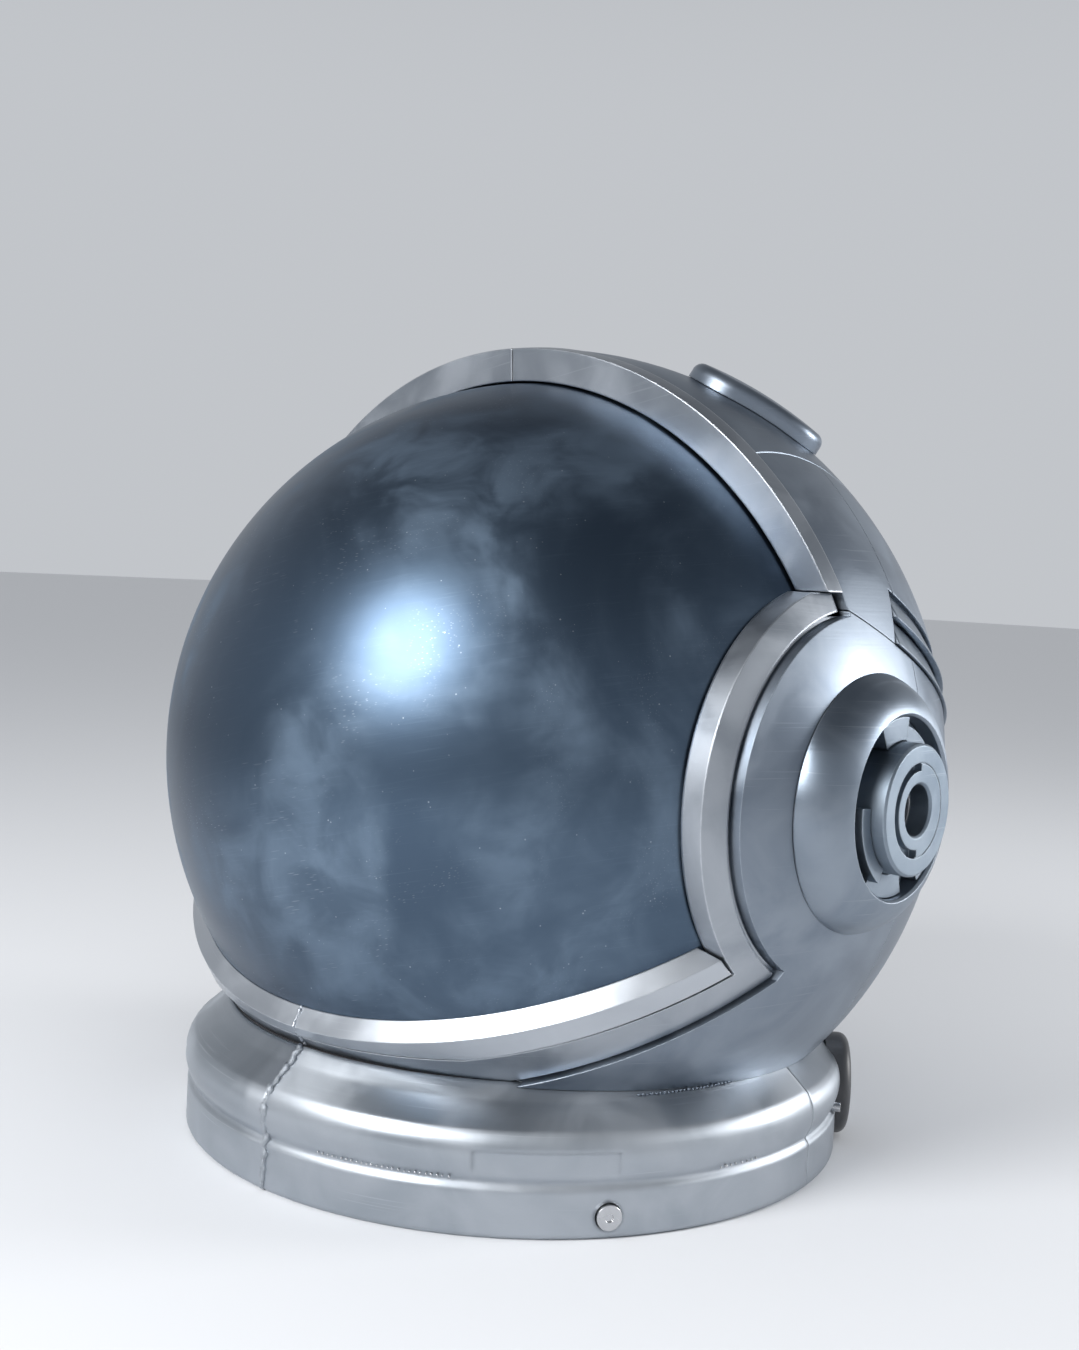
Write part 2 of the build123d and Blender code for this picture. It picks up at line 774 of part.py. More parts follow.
# Turn lock of the ring
lock_disc = radial_rod(lock_deg, lock_z, lock_r, lock_back, lock_face)
lock_front_edge = lock_disc.edges().sort_by(lambda edge: -edge.center().dot(facing(lock_deg)))[0]
lock_disc = fillet(lock_front_edge, lock_round)
lock_shaft = radial_rod(lock_deg, lock_z, lock_shaft_r, collar_outer_r + soft_gap, lock_back + seat_gap)
cap_hole = radial_rod(
    lock_deg, lock_z, lock_cap_r + run_gap, lock_face - lock_cap_depth - run_gap, lock_face + overrun
)
lock_knob = (lock_disc + lock_shaft) - cap_hole
lock_cap = radial_rod(lock_deg, lock_z, lock_cap_r, lock_face - lock_cap_depth, lock_face + lock_cap_proud)
slot_foot = facing(lock_deg) * (lock_face + lock_cap_proud) + Vector(0, 0, lock_z)
slot_plane = Plane(origin=slot_foot, z_dir=facing(lock_deg))
lock_cap = lock_cap - slot_plane * Box(4 * lock_cap_r, lock_slot, 2 * lock_slot_depth)

# Neck collar and gasket
collar_face = Plane.XZ * make_face(Polyline(
    (collar_bore_r, 0),
    (collar_outer_r, 0),
    (collar_outer_r, collar_top_z),
    (collar_bore_r, collar_top_z),
    close=True,
))
collar = revolve(collar_face, Axis.Z)
for angle in screw_degs:
    cutter = collar_screw(angle, run_gap, overrun)
    collar = collar - cutter - mirrored(cutter)
gasket_low = collar_top_z + seat_gap
gasket_face = Plane.XZ * make_face(Polyline(
    (collar_outer_r - gasket_wall, gasket_low),
    (collar_outer_r, gasket_low),
    (collar_outer_r, gasket_low + gasket_height),
    (collar_outer_r - gasket_wall, gasket_low + gasket_height),
    close=True,
))
gasket = revolve(gasket_face, Axis.Z)

# Liner, brackets and cushions
liner = ball(liner_r, pivot_y, pivot_z) - ball(liner_r - liner_wall, pivot_y, pivot_z)
liner = liner & behind_arch(liner_front, liner_low_z)


def bracket(angle_deg):
    """A strap from the top of the ring up to the liner's low edge."""
    way = facing(angle_deg)
    low_z = ring_top_z + seat_gap
    high_z = liner_low_z + bracket_rise
    inside_r = liner_r - liner_wall - seat_gap
    half_wide = bracket_width / 2
    shift = way.Y * pivot_y - bracket_wall - seat_gap
    top_r = math.sqrt(inside_r**2 - (high_z - pivot_z) ** 2 - half_wide**2) + shift
    low_reach = math.sqrt(inside_r**2 - (liner_low_z - pivot_z) ** 2 - half_wide**2) + shift
    plane = Plane(origin=(0, 0, 0), x_dir=way, z_dir=way.cross(Vector(0, 0, 1)))
    outline = Polyline(
        (bracket_foot_r, low_z),
        (bracket_foot_r + 2 * bracket_wall, low_z),
        (low_reach + bracket_wall, liner_low_z - bracket_wall),
        (low_reach + bracket_wall, liner_low_z),
        (top_r + bracket_wall, high_z),
        (top_r, high_z),
        (low_reach, liner_low_z),
        close=True,
    )
    return extrude(plane * make_face(outline), amount=half_wide, both=True)


brackets = [bracket(bracket_side_deg), bracket(180), bracket(-bracket_side_deg)]
cushion_out = liner_r - liner_wall - soft_gap
cushion_shell = ball(cushion_out, pivot_y, pivot_z) - ball(cushion_out - cushion_thick, pivot_y, pivot_z)
crown_post = Pos(0, pivot_y + liner_wall, pivot_z) * extrude(
    RectangleRounded(2 * crown_cushion_half, 2 * crown_cushion_half, 2 * cushion_round), amount=liner_r
)
crown_cushion = cushion_shell & crown_post
side_wide = side_cushion_back - side_cushion_front
side_tall = side_cushion_high - side_cushion_low
side_mid = Plane(
    origin=(0, (side_cushion_back + side_cushion_front) / 2, (side_cushion_high + side_cushion_low) / 2),
    x_dir=(0, 1, 0),
    z_dir=(1, 0, 0),
)
side_cushion = cushion_shell & (
    side_mid * extrude(RectangleRounded(side_wide, side_tall, 2 * cushion_round), amount=liner_r)
)
nape_tall = nape_cushion_high - nape_cushion_low
nape_mid = Plane(
    origin=(0, 0, (nape_cushion_high + nape_cushion_low) / 2), x_dir=(-1, 0, 0), z_dir=(0, 1, 0)
)
nape_outline = RectangleRounded(2 * nape_cushion_half, nape_tall, 2 * cushion_round)
nape_cushion = cushion_shell & (nape_mid * extrude(nape_outline, amount=2 * liner_r))

singles = {
    "crown_panel": crown_panel,
    "neck_ring_rear": ring_rear,
    "neck_collar": collar,
    "neck_gasket": gasket,
    "liner_shell": liner,
    "visor_bubble": bubble,
    "crown_cushion": crown_cushion,
    "nape_cushion": nape_cushion,
}
pairs = {
    "side_panel_front": side_front_left,
    "side_panel_rear": side_rear_left,
    "cheek_shell": cheek_left,
    "nape_shell": nape_left,
    "brow_arch": arch_left,
    "visor_surround": surround_left,
    "crown_pod": pod,
    "rear_louvres": louvres_left,
    "neck_ring_front": ring_front,
    "ear_dish": dish,
    "ear_collar": ear_collar,
    "ear_lock": knob,
    "pivot_post": post,
    "friction_washer": washer,
    "visor_hub": hub,
    "visor_lip": lip_left,
    "ring_lock": lock_knob,
    "ring_lock_cap": lock_cap,
    "side_cushion": side_cushion,
}
hub_screws = hub_screw_list + [mirrored(screw) for screw in hub_screw_list]
collar_screws = [collar_screw(angle) for angle in screw_degs]
collar_screws += [mirrored(screw) for screw in collar_screws]
groups = {
    "liner_brackets": brackets,
    "hub_screws": hub_screws,
    "collar_screws": collar_screws,
    "ring_studs": [stud, mirrored(stud), stop_pin, mirrored(stop_pin)],
}
for name, solid in singles.items():
    save(solid, name)
for name, solid in pairs.items():
    save(solid, name + "_left")
    save(mirrored(solid), name + "_right")
for name, members in groups.items():
    save(Compound(children=members), name)
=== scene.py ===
"""The finish and the fine shapes of an astronaut helmet, round its fixed frame."""

from __future__ import annotations

import json
import logging
import math
from dataclasses import dataclass, field
from enum import Enum

import bmesh
import bpy
from mathutils import Matrix, Vector, noise


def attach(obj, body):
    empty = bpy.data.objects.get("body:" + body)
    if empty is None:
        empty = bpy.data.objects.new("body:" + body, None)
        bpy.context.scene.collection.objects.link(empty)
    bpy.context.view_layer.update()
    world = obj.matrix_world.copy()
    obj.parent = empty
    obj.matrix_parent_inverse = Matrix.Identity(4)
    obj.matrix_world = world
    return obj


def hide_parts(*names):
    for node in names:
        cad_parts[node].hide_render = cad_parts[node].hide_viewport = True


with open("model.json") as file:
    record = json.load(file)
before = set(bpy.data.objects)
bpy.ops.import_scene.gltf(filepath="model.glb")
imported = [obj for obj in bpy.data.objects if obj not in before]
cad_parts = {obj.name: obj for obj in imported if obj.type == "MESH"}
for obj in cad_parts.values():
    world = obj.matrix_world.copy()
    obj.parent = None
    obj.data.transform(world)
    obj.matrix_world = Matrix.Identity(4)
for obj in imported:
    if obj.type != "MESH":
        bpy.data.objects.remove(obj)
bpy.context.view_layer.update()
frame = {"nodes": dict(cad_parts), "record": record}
LOG = logging.getLogger("helmet")

MM = 0.001
MERGE_DISTANCE = 0.01 * MM

Colour = tuple[float, float, float]
Socket = bpy.types.NodeSocket


class Body(Enum):
    """The rigid bodies that the new pieces ride on."""

    SHELL = "shell"
    VISOR = "visor"


class Wiring:
    """A short way to lay and join nodes in one node tree."""

    def __init__(self, tree: bpy.types.NodeTree) -> None:
        """Starts on an empty tree.

        Args:
            tree: the node tree to fill.
        """
        self.tree = tree
        tree.nodes.clear()

    def add(self, kind: str, **settings: object) -> bpy.types.Node:
        """Adds a node.

        Args:
            kind: the node's type name without the ShaderNode prefix.
            settings: attributes of the node.

        Returns:
            The new node.
        """
        node = self.tree.nodes.new(kind if kind.startswith("Node") else "ShaderNode" + kind)
        for name, value in settings.items():
            setattr(node, name, value)
        return node

    def feed(self, socket: Socket, value: Socket | float | tuple) -> None:
        """Gives a socket a value or a link.

        Args:
            socket: the input to feed.
            value: another socket, or a plain value.
        """
        if isinstance(value, bpy.types.NodeSocket):
            self.tree.links.new(value, socket)
        else:
            socket.default_value = value

    def fill(self, node: bpy.types.Node, **inputs: Socket | float | tuple) -> bpy.types.Node:
        """Feeds a node's inputs by name, with an underscore for each space.

        Args:
            node: the node to feed.
            inputs: values or sockets by input name.

        Returns:
            The same node.
        """
        for name, value in inputs.items():
            self.feed(node.inputs[name.replace("_", " ")], value)
        return node

    def math(
        self, operation: str, a: Socket | float, b: Socket | float = 0.0, clamp: bool = False
    ) -> Socket:
        """Adds a Math node.

        Args:
            operation: the Math node's operation.
            a: its first value.
            b: its second value.
            clamp: whether the result stays from 0 to 1.

        Returns:
            The result.
        """
        node = self.add("Math", operation=operation, use_clamp=clamp)
        self.feed(node.inputs[0], a)
        self.feed(node.inputs[1], b)
        return node.outputs[0]

    def scaled(self, vector: Socket, scale: Socket | tuple) -> Socket:
        """Multiplies a vector by another.

        Args:
            vector: the vector to scale.
            scale: the factor along each axis.

        Returns:
            The scaled vector.
        """
        node = self.add("VectorMath", operation="MULTIPLY")
        self.feed(node.inputs[0], vector)
        self.feed(node.inputs[1], scale)
        return node.outputs[0]

    def spread(
        self, value: Socket, low: float, high: float, to_low: float = 0.0, to_high: float = 1.0
    ) -> Socket:
        """Maps one range of a value smoothly to another.

        Args:
            value: the value to map.
            low: the range's start.
            high: the range's end.
            to_low: the result at the start.
            to_high: the result at the end.

        Returns:
            The mapped value.
        """
        node = self.add("MapRange", interpolation_type="SMOOTHSTEP")
        for index, item in enumerate((value, low, high, to_low, to_high)):
            self.feed(node.inputs[index], item)
        return node.outputs[0]

    def noise(
        self, vector: Socket, scale: Socket | float, detail: float, distortion: float = 0.0
    ) -> Socket:
        """Adds a Noise Texture.

        Args:
            vector: where to read it.
            scale: its scale.
            detail: its detail.
            distortion: how far it is warped.

        Returns:
            The noise's factor.
        """
        node = self.add("TexNoise")
        self.fill(node, Vector=vector, Scale=scale, Detail=detail, Distortion=distortion)
        return node.outputs["Fac"]

    def mix(self, share: Socket | float, low: Socket | Colour, high: Socket | Colour) -> Socket:
        """Mixes two colours.

        Args:
            share: how much of the second colour shows.
            low: the first colour.
            high: the second colour.

        Returns:
            The mixed colour.
        """
        node = self.add("Mix", data_type="RGBA")
        self.feed(node.inputs["Factor"], share)
        for socket, value in ((node.inputs[6], low), (node.inputs[7], high)):
            self.feed(socket, value if isinstance(value, bpy.types.NodeSocket) else (*value, 1.0))
        return node.outputs[2]


class SharedEffects:
    """The shader node groups that the finishes share, each built once."""

    NUMBER = "NodeSocketFloat"
    VECTOR = "NodeSocketVector"
    COARSE_SHARE = 0.6
    FINE_SHARE = 0.4
    FINE_SCALE = 2.6
    STREAK_RANGE = (0.56, 0.74)
    ROUNDING_SAMPLES = 6
    CHIPS_PER_METRE = 380.0
    CHIP_DETAIL = 3.0
    CHIP_RANGE = (0.3, 0.6, 0.45, 1.0)
    PATCH_DETAIL = 5.0
    PATCH_WARP = 0.6
    PATCH_RANGE = (0.34, 0.68)
    FLECK_GATE_SCALE = 0.31
    FLECK_GATE_RANGE = (0.6, 0.7)
    FLECK_RANGE = (0.16, 0.08)
    SCRATCH_GATE_PER_METRE = 45.0
    SCRATCH_GATE_DETAIL = 2.0
    SCRATCH_GATE_RANGE = (0.5, 0.7)
    SCRATCH_RANGE = (0.22, 0.12)

    def __init__(self) -> None:
        """Builds every group."""
        self.layer_lines = self._layer_lines()
        self.edge_wear_and_sheen = self._edge_wear_and_sheen()
        self.cloud = self._cloud()
        self.scratches = self._scratches()

    def _start(self, name: str, inputs: dict[str, tuple[str, float]], outputs: dict[str, str]) -> tuple:
        """Makes an empty group with its sockets.

        Args:
            name: the group's name.
            inputs: socket type and default value by name.
            outputs: socket type by name.

        Returns:
            The group, its wiring, its input node and its output node.
        """
        group = bpy.data.node_groups.new(name, "ShaderNodeTree")
        for socket_name, (kind, value) in inputs.items():
            socket = group.interface.new_socket(socket_name, in_out="INPUT", socket_type=kind)
            if kind == self.NUMBER:
                socket.default_value = value
        for socket_name, kind in outputs.items():
            group.interface.new_socket(socket_name, in_out="OUTPUT", socket_type=kind)
        wiring = Wiring(group)
        return group, wiring, wiring.add("NodeGroupInput"), wiring.add("NodeGroupOutput")

    def _layer_lines(self) -> bpy.types.NodeTree:
        """Fine lines at right angles to the pattern's Z.

        Returns:
            The group, which puts out a height and a mask of brighter lines.
        """
        group, w, source, target = self._start(
            "layer_lines",
            {"Vector": (self.VECTOR, 0.0), "Across": (self.NUMBER, 10.0), "Lines": (self.NUMBER, 1000.0)},
            {"Height": self.NUMBER, "Streak": self.NUMBER},
        )
        across = source.outputs["Across"]
        stretch = w.add("CombineXYZ")
        w.fill(stretch, X=across, Y=across, Z=source.outputs["Lines"])
        place = w.scaled(source.outputs["Vector"], stretch.outputs[0])
        coarse = w.math("MULTIPLY", w.noise(place, 1.0, 1.0), self.COARSE_SHARE)
        fine = w.math("MULTIPLY", w.noise(place, self.FINE_SCALE, 1.0), self.FINE_SHARE)
        height = w.math("ADD", coarse, fine)
        w.feed(target.inputs["Height"], height)
        w.feed(target.inputs["Streak"], w.spread(height, *self.STREAK_RANGE))
        return group

    def _edge_wear_and_sheen(self) -> bpy.types.NodeTree:
        """A mask of the edges, for paler edges that are partly wear and partly a painted edge highlight, and
        a normal that rounds them.

        Returns:
            The group.
        """
        group, w, source, target = self._start(
            "edge_wear_and_sheen",
            {"Vector": (self.VECTOR, 0.0), "Radius": (self.NUMBER, 0.0006), "Strength": (self.NUMBER, 6.0)},
            {"Mask": self.NUMBER, "Normal": self.VECTOR},
        )
        rounded = w.add("Bevel", samples=self.ROUNDING_SAMPLES)
        w.feed(rounded.inputs["Radius"], source.outputs["Radius"])
        plain = w.add("NewGeometry")
        dot = w.add("VectorMath", operation="DOT_PRODUCT")
        w.feed(dot.inputs[0], rounded.outputs["Normal"])
        w.feed(dot.inputs[1], plain.outputs["Normal"])
        turn = w.math("SUBTRACT", 1.0, dot.outputs["Value"])
        chips = w.noise(source.outputs["Vector"], self.CHIPS_PER_METRE, self.CHIP_DETAIL)
        # Pale edge mask: partly worn paint broken up by chips, partly a painted edge highlight that lightens
        # every edge whatever the light.
        edge_wear_and_sheen_amount = w.math("MULTIPLY", turn, source.outputs["Strength"])
        mask = w.math("MULTIPLY", edge_wear_and_sheen_amount, w.spread(chips, *self.CHIP_RANGE), clamp=True)
        w.feed(target.inputs["Mask"], mask)
        w.feed(target.inputs["Normal"], rounded.outputs["Normal"])
        return group

    def _cloud(self) -> bpy.types.NodeTree:
        """Soft patches and small flecks.

        Returns:
            The group.
        """
        group, w, source, target = self._start(
            "cloud",
            {
                "Vector": (self.VECTOR, 0.0),
                "Scale": (self.NUMBER, 20.0),
                "Fleck Scale": (self.NUMBER, 300.0),
            },
            {"Cloud": self.NUMBER, "Fleck": self.NUMBER},
        )
        place, fleck_scale = source.outputs["Vector"], source.outputs["Fleck Scale"]
        patches = w.noise(place, source.outputs["Scale"], self.PATCH_DETAIL, self.PATCH_WARP)
        w.feed(target.inputs["Cloud"], w.spread(patches, *self.PATCH_RANGE))
        cells = w.add("TexVoronoi")
        w.fill(cells, Vector=place, Scale=fleck_scale)
        gate_scale = w.math("MULTIPLY", fleck_scale, self.FLECK_GATE_SCALE)
        gate = w.spread(w.noise(place, gate_scale, 1.0), *self.FLECK_GATE_RANGE)
        dots = w.spread(cells.outputs["Distance"], *self.FLECK_RANGE)
        w.feed(target.inputs["Fleck"], w.math("MULTIPLY", dots, gate))
        return group

    def _scratches(self) -> bpy.types.NodeTree:
        """Short thin scratches along the pattern's X.

        Returns:
            The group.
        """
        group, w, source, target = self._start(
            "scratches",
            {"Vector": (self.VECTOR, 0.0), "Density": (self.NUMBER, 60.0), "Slimness": (self.NUMBER, 14.0)},
            {"Mask": self.NUMBER},
        )
        place, density = source.outputs["Vector"], source.outputs["Density"]
        stretch = w.add("CombineXYZ")
        slim = w.math("MULTIPLY", density, source.outputs["Slimness"])
        w.fill(stretch, X=density, Y=slim, Z=slim)
        cells = w.add("TexVoronoi")
        w.fill(cells, Vector=w.scaled(place, stretch.outputs[0]), Scale=1.0)
        patches = w.noise(place, self.SCRATCH_GATE_PER_METRE, self.SCRATCH_GATE_DETAIL)
        gate = w.spread(patches, *self.SCRATCH_GATE_RANGE)
        strokes = w.spread(cells.outputs["Distance"], *self.SCRATCH_RANGE)
        w.feed(target.inputs["Mask"], w.math("MULTIPLY", strokes, gate))
        return group


@dataclass(frozen=True)
class MetalFinish:
    """A printed part's metallic coat: fine lines, soft patches, and paler edges that are partly wear and
    partly a painted edge highlight.
    """

    name: str
    colour: Colour
    pale: Colour
    roughness: float
    metallic: float = 1.0
    anisotropic: float = 0.0
    lines_per_metre: float = 1050.0
    across_per_metre: float = 14.0
    line_depth: float = 0.030 * MM
    streak_share: float = 0.35
    grain_per_metre: float = 2600.0
    grain_detail: float = 2.0
    grain_depth: float = 0.006 * MM
    edge_radius: float = 0.6 * MM
    edge_strength: float = 5.0
    patch_per_metre: float = 26.0
    patch_share: float = 0.35
    smoother_by: float = 0.05
    rougher_by: float = 0.07
    tilt_deg: tuple[float, float, float] = (0.0, 0.0, 0.0)

    def build(self, effects: SharedEffects) -> bpy.types.Material:
        """Makes the material.

        Args:
            effects: the shared node groups.

        Returns:
            The material.
        """
        material = bpy.data.materials.new(self.name)
        material.use_nodes = True
        w = Wiring(material.node_tree)
        place = w.add("TexCoord").outputs["Object"]
        turned = w.add("Mapping")
        w.fill(turned, Vector=place, Rotation=tuple(math.radians(a) for a in self.tilt_deg))
        lines = w.add("Group", node_tree=effects.layer_lines)
        w.fill(lines, Vector=turned.outputs[0], Across=self.across_per_metre, Lines=self.lines_per_metre)
        pale_edges = w.add("Group", node_tree=effects.edge_wear_and_sheen)
        w.fill(pale_edges, Vector=place, Radius=self.edge_radius, Strength=self.edge_strength)
        cloud = w.add("Group", node_tree=effects.cloud)
        w.fill(cloud, Vector=place, Scale=self.patch_per_metre)
        patches = w.math("MULTIPLY", cloud.outputs["Cloud"], self.patch_share)
        bright = w.math("MAXIMUM", patches, w.math("MULTIPLY", lines.outputs["Streak"], self.streak_share))
        # The paler edges add worn paint and a painted edge highlight to the base colour.
        bright = w.math("MAXIMUM", bright, pale_edges.outputs["Mask"])
        shader = w.add("BsdfPrincipled")
        w.feed(shader.inputs["Base Color"], w.mix(bright, self.colour, self.pale))
        smooth, dull = self.roughness - self.smoother_by, self.roughness + self.rougher_by
        rough = w.spread(cloud.outputs["Cloud"], 0.0, 1.0, smooth, dull)
        w.feed(shader.inputs["Roughness"], rough)
        shader.inputs["Metallic"].default_value = self.metallic
        if self.anisotropic:
            shader.inputs["Anisotropic"].default_value = self.anisotropic
            tangent = w.add("Tangent", direction_type="RADIAL", axis="Z")
            w.feed(shader.inputs["Tangent"], tangent.outputs[0])
        grain = w.noise(place, self.grain_per_metre, self.grain_detail)
        fine = w.add("Bump")
        w.fill(fine, Height=grain, Distance=self.grain_depth, Normal=pale_edges.outputs["Normal"])
        coarse = w.add("Bump")
        w.fill(coarse, Height=lines.outputs["Height"], Distance=self.line_depth, Normal=fine.outputs[0])
        w.feed(shader.inputs["Normal"], coarse.outputs[0])
        w.feed(w.add("OutputMaterial").inputs["Surface"], shader.outputs[0])
        return material


@dataclass(frozen=True)
class VisorFinish:
    """The bubble's dark mirror coat, with smudges, flecks and short scratches."""

    name: str = "visor_mirror"
    dark: Colour = (0.070, 0.104, 0.152)
    pale: Colour = (0.180, 0.245, 0.325)
    fleck: Colour = (0.58, 0.64, 0.70)
    roughness_low: float = 0.33
    roughness_high: float = 0.50
    broad_per_metre: float = 13.0
    small_per_metre: float = 42.0
    small_share: float = 0.7
    broad_share: float = 0.3
    flecks_per_metre: float = 420.0
    fleck_share: float = 0.45
    lines_per_metre: float = 1300.0
    across_per_metre: float = 40.0
    line_share: float = 0.12
    line_depth: float = 0.012 * MM
    scratch_density: float = 70.0
    scratch_slimness: float = 16.0
    scratch_share: float = 0.2
    ripple_per_metre: float = 60.0
    ripple_detail: float = 2.0
    ripple_depth: float = 0.05 * MM
    tilt_deg: tuple[float, float, float] = (0.0, 14.0, 0.0)

    def build(self, effects: SharedEffects) -> bpy.types.Material:
        """Makes the material.

        Args:
            effects: the shared node groups.

        Returns:
            The material.
        """
        material = bpy.data.materials.new(self.name)
        material.use_nodes = True
        w = Wiring(material.node_tree)
        place = w.add("TexCoord").outputs["Object"]
        turned = w.add("Mapping")
        w.fill(turned, Vector=place, Rotation=tuple(math.radians(a) for a in self.tilt_deg))
        broad = w.add("Group", node_tree=effects.cloud)
        w.fill(broad, Vector=place, Scale=self.broad_per_metre, Fleck_Scale=self.flecks_per_metre)
        small = w.add("Group", node_tree=effects.cloud)
        w.fill(small, Vector=turned.outputs[0], Scale=self.small_per_metre)
        lines = w.add("Group", node_tree=effects.layer_lines)
        w.fill(lines, Vector=turned.outputs[0], Across=self.across_per_metre, Lines=self.lines_per_metre)
        scratches = w.add("Group", node_tree=effects.scratches)
        w.fill(
            scratches,
            Vector=turned.outputs[0],
            Density=self.scratch_density,
            Slimness=self.scratch_slimness,
        )
        broken = w.math("MULTIPLY", broad.outputs["Cloud"], small.outputs["Cloud"])
        broken = w.math("MULTIPLY", broken, self.small_share)
        smudge = w.math("ADD", broken, w.math("MULTIPLY", broad.outputs["Cloud"], self.broad_share))
        streaks = w.math("MULTIPLY", lines.outputs["Streak"], self.line_share)
        colour = w.mix(w.math("ADD", smudge, streaks, clamp=True), self.dark, self.pale)
        flecks = w.math("MULTIPLY", broad.outputs["Fleck"], self.fleck_share)
        strokes = w.math("MULTIPLY", scratches.outputs["Mask"], self.scratch_share)
        marks = w.math("MAXIMUM", strokes, flecks)
        shader = w.add("BsdfPrincipled")
        w.feed(shader.inputs["Base Color"], w.mix(marks, colour, self.fleck))
        rough = w.spread(smudge, 0.0, 1.0, self.roughness_low, self.roughness_high)
        w.feed(shader.inputs["Roughness"], rough)
        shader.inputs["Metallic"].default_value = 1.0
        ripple = w.add("Bump")
        waves = w.noise(place, self.ripple_per_metre, self.ripple_detail)
        w.fill(ripple, Height=waves, Distance=self.ripple_depth)
        fine = w.add("Bump")
        w.fill(fine, Height=lines.outputs["Height"], Distance=self.line_depth, Normal=ripple.outputs[0])
        w.feed(shader.inputs["Normal"], fine.outputs[0])
        w.feed(w.add("OutputMaterial").inputs["Surface"], shader.outputs[0])
        return material


@dataclass(frozen=True)
class PlainFinish:
    """A moulded or rubber part that isn't metal, with a soft grain."""

    name: str
    colour: Colour
    pale: Colour
    roughness: float
    edge_radius: float = 0.5 * MM
    edge_strength: float = 2.5
    patch_per_metre: float = 34.0
    patch_share: float = 0.4
    roughness_swing: float = 0.06
    grain_per_metre: float = 1400.0
    grain_detail: float = 3.0
    grain_depth: float = 0.03 * MM

    def build(self, effects: SharedEffects) -> bpy.types.Material:
        """Makes the material.

        Args:
            effects: the shared node groups.

        Returns:
            The material.
        """
        material = bpy.data.materials.new(self.name)
        material.use_nodes = True
        w = Wiring(material.node_tree)
        place = w.add("TexCoord").outputs["Object"]
        pale_edges = w.add("Group", node_tree=effects.edge_wear_and_sheen)
        w.fill(pale_edges, Vector=place, Radius=self.edge_radius, Strength=self.edge_strength)
        cloud = w.add("Group", node_tree=effects.cloud)
        w.fill(cloud, Vector=place, Scale=self.patch_per_metre)
        patches = w.math("MULTIPLY", cloud.outputs["Cloud"], self.patch_share)
        # The paler edges here are partly wear and partly a painted edge highlight.
        bright = w.math("MAXIMUM", patches, pale_edges.outputs["Mask"])
        shader = w.add("BsdfPrincipled")
        w.feed(shader.inputs["Base Color"], w.mix(bright, self.colour, self.pale))
        smooth, dull = self.roughness - self.roughness_swing, self.roughness + self.roughness_swing
        rough = w.spread(cloud.outputs["Cloud"], 0.0, 1.0, smooth, dull)
        w.feed(shader.inputs["Roughness"], rough)
        grain = w.add("Bump")
        height = w.noise(place, self.grain_per_metre, self.grain_detail)
        w.fill(grain, Height=height, Distance=self.grain_depth, Normal=pale_edges.outputs["Normal"])
        w.feed(shader.inputs["Normal"], grain.outputs[0])
        w.feed(w.add("OutputMaterial").inputs["Surface"], shader.outputs[0])
        return material


